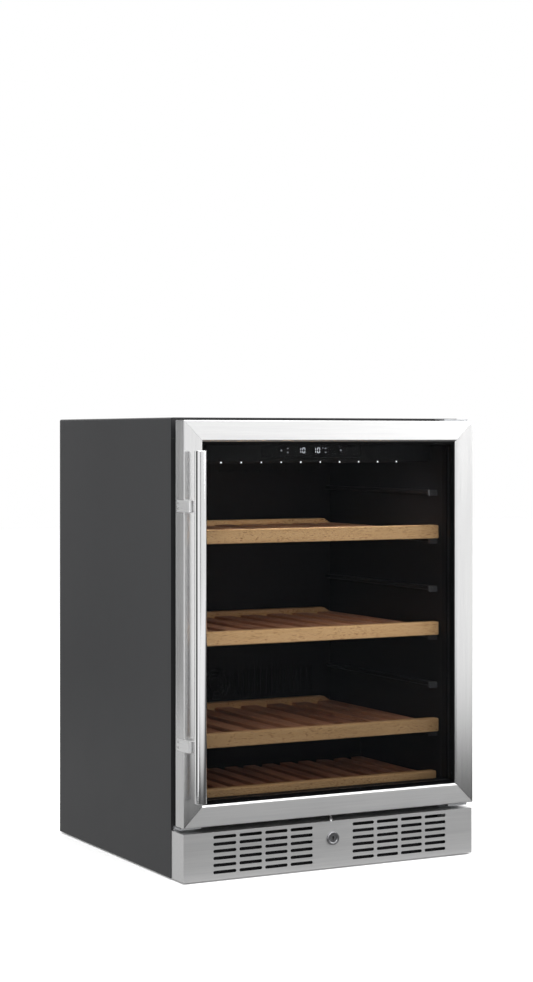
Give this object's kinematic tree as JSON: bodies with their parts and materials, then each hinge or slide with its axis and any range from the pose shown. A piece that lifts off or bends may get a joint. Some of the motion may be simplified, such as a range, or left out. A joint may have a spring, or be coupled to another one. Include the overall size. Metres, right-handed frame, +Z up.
{
  "type": "wine cooler",
  "caption": "Under-counter wine cooler with a framed glass door, a bar handle, slatted wooden shelves and a slotted front plinth with a lock.",
  "frame": {"origin": "centre of the footprint on the floor: X and Y at the middle of the whole object's box, Z at the underside of the feet", "axes": "+Z up, -Y towards the user (the door side), +X to the right as seen from the front"},
  "size_m": [0.595, 0.64, 0.82],
  "materials": {
    "dark_casing": "satin, fine texture",
    "black_metal": "satin",
    "zinc_sheet": "dull zinc",
    "brushed_stainless": "fine brushed grain",
    "polished_stainless": "polished",
    "black_plastic": "fine moulded texture",
    "gloss_black": "gloss",
    "rigid_foam": "cut foam",
    "gasket_rubber": "matt",
    "foot_rubber": "matt",
    "tinted_glass": "clear, slightly grey",
    "spacer_aluminium": "perforated",
    "coil_aluminium": "mill finish",
    "copper_pipe": "drawn copper",
    "beech_board": "oiled",
    "stained_slats": "stained",
    "circuit_board": "solder mask",
    "led_lens": "frosted",
    "white_plastic": "moulded",
    "nylon_bush": "moulded",
    "bright_screws": "plated"
  },
  "bodies": {
    "cabinet": {"outer_casing": "dark_casing", "back_panel": "dark_casing", "rear_cover": "dark_casing", "base_pan": "zinc_sheet", "front_flange": "black_metal", "insulation_foam": "rigid_foam", "inner_liner": "black_plastic", "shelf_rails": "black_plastic", "evaporator_cover": "black_plastic", "evaporator_coil": "coil_aluminium", "evaporator_fan_frame": "black_plastic", "control_housing": "black_plastic", "display_window": "gloss_black", "control_board": "circuit_board", "led_strip": "led_lens", "compressor": "black_metal", "compressor_mount": "black_metal", "condenser_coil": "copper_pipe", "condenser_fan_frame": "black_plastic", "drain_pan": "white_plastic", "refrigerant_pipe": "copper_pipe", "power_inlet": "black_plastic", "plinth_grille": "brushed_stainless", "lock_housing": "polished_stainless", "hinge_brackets": "zinc_sheet", "cabinet_screws": "bright_screws"},
    "door": {"door_frame_top": "brushed_stainless", "door_frame_bottom": "brushed_stainless", "door_frame_left": "brushed_stainless", "door_frame_right": "brushed_stainless", "door_core": "black_plastic", "outer_glass": "tinted_glass", "inner_glass": "tinted_glass", "glass_spacer": "spacer_aluminium", "door_liner": "black_plastic", "door_gasket": "gasket_rubber", "hinge_bushes": "nylon_bush", "handle_bar": "polished_stainless", "handle_straps": "brushed_stainless"},
    "shelf_1": {"shelf_1_front_board": "beech_board", "shelf_1_slats": "stained_slats", "shelf_1_bars": "beech_board"},
    "shelf_2": {"shelf_2_front_board": "beech_board", "shelf_2_slats": "stained_slats", "shelf_2_bars": "beech_board"},
    "shelf_3": {"shelf_3_front_board": "beech_board", "shelf_3_slats": "stained_slats", "shelf_3_bars": "beech_board"},
    "shelf_4": {"shelf_4_front_board": "beech_board", "shelf_4_slats": "stained_slats", "shelf_4_bars": "beech_board"},
    "lock_plug": {"lock_cylinder": "polished_stainless"},
    "lock_bolt": {"lock_bolt": "polished_stainless"},
    "evaporator_fan": {"evaporator_fan_blades": "black_plastic"},
    "condenser_fan": {"condenser_fan_blades": "black_plastic"},
    "front_foot_left": {"front_foot_left": "foot_rubber"},
    "front_foot_right": {"front_foot_right": "foot_rubber"},
    "rear_foot_left": {"rear_foot_left": "foot_rubber"},
    "rear_foot_right": {"rear_foot_right": "foot_rubber"}
  },
  "joints": [
    {"name": "door_hinge", "type": "hinge", "parent": "cabinet", "child": "door", "pos_m": [0.2875, -0.247, 0.456], "axis": [0, 0, 1], "range_deg": [0, 110]},
    {"name": "shelf_1_slide", "type": "slide", "parent": "cabinet", "child": "shelf_1", "axis": [0, -1, 0], "range_m": [0, 0.25]},
    {"name": "shelf_2_slide", "type": "slide", "parent": "cabinet", "child": "shelf_2", "axis": [0, -1, 0], "range_m": [0, 0.25]},
    {"name": "shelf_3_slide", "type": "slide", "parent": "cabinet", "child": "shelf_3", "axis": [0, -1, 0], "range_m": [0, 0.25]},
    {"name": "shelf_4_slide", "type": "slide", "parent": "cabinet", "child": "shelf_4", "axis": [0, -1, 0], "range_m": [0, 0.18]},
    {"name": "lock_turn", "type": "hinge", "parent": "cabinet", "child": "lock_plug", "pos_m": [0, -0.272, 0.0563], "axis": [0, -1, 0], "range_deg": [0, 90]},
    {"name": "lock_bolt_slide", "type": "slide", "parent": "cabinet", "child": "lock_bolt", "axis": [0, 0, 1], "range_m": [0, 0.008]},
    {"name": "evaporator_fan_spin", "type": "hinge", "parent": "cabinet", "child": "evaporator_fan", "pos_m": [0, 0.232, 0.288], "axis": [0, -1, 0], "continuous": true},
    {"name": "condenser_fan_spin", "type": "hinge", "parent": "cabinet", "child": "condenser_fan", "pos_m": [-0.136, 0.1475, 0.0767], "axis": [0, -1, 0], "continuous": true},
    {"name": "front_foot_left_screw", "type": "slide", "parent": "cabinet", "child": "front_foot_left", "axis": [0, 0, -1], "range_m": [0, 0.02]},
    {"name": "front_foot_right_screw", "type": "slide", "parent": "cabinet", "child": "front_foot_right", "axis": [0, 0, -1], "range_m": [0, 0.02]},
    {"name": "rear_foot_left_screw", "type": "slide", "parent": "cabinet", "child": "rear_foot_left", "axis": [0, 0, -1], "range_m": [0, 0.02]},
    {"name": "rear_foot_right_screw", "type": "slide", "parent": "cabinet", "child": "rear_foot_right", "axis": [0, 0, -1], "range_m": [0, 0.02]}
  ],
  "couplings": [
    {"joint": "shelf_1_slide", "follows": "door_hinge", "m_per_rad": 0.03},
    {"joint": "shelf_2_slide", "follows": "door_hinge", "m_per_rad": 0.03},
    {"joint": "shelf_3_slide", "follows": "door_hinge", "m_per_rad": 0.03},
    {"joint": "shelf_4_slide", "follows": "door_hinge", "m_per_rad": 0.03},
    {"joint": "lock_turn", "follows": "lock_bolt_slide", "rad_per_m": 196.3}
  ]
}
